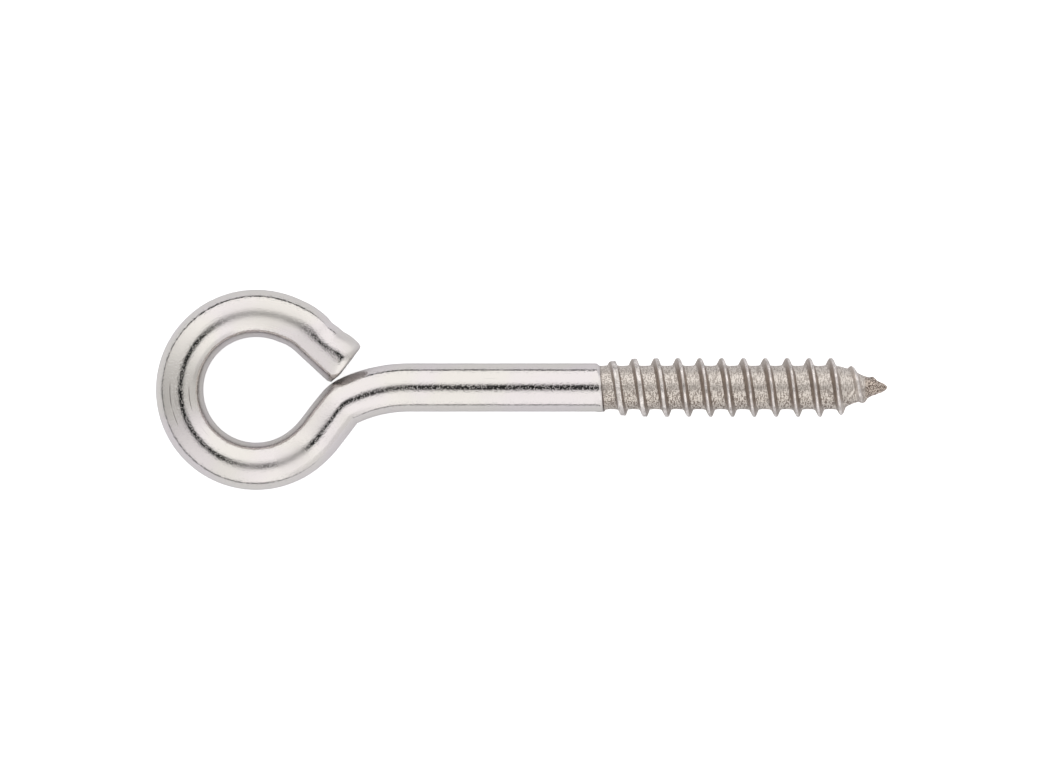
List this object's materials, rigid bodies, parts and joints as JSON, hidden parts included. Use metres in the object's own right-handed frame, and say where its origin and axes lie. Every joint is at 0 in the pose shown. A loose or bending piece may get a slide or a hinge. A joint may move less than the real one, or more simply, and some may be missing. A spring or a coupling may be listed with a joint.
{
  "type": "screw eye",
  "caption": "Screw eye bent from one length of zinc-plated steel wire: a round eye with a sheared tail, a reverse-bent neck, a plain shank and a rolled wood thread with a gimlet point.",
  "frame": {"origin": "middle of the bottom of the object's box, on the surface that the screw eye lies on", "axes": "+X along the shank towards the point, +Y in the plane of the eye on the side of its cut end, +Z square to the plane of the eye"},
  "size_m": [0.1206, 0.033, 0.0097],
  "materials": {
    "bright_zinc": "bright drawn wire, electro zinc plated, glossy with fine scuffs along the wire",
    "rolled_zinc": "matte rough rolled thread under the same zinc plating, darker on the flanks"
  },
  "bodies": {
    "root": {"plain_shank": "bright_zinc", "neck_bend": "bright_zinc", "eye_ring": "bright_zinc", "eye_tail": "bright_zinc", "wood_thread": "rolled_zinc", "gimlet_point": "rolled_zinc"}
  },
  "joints": []
}
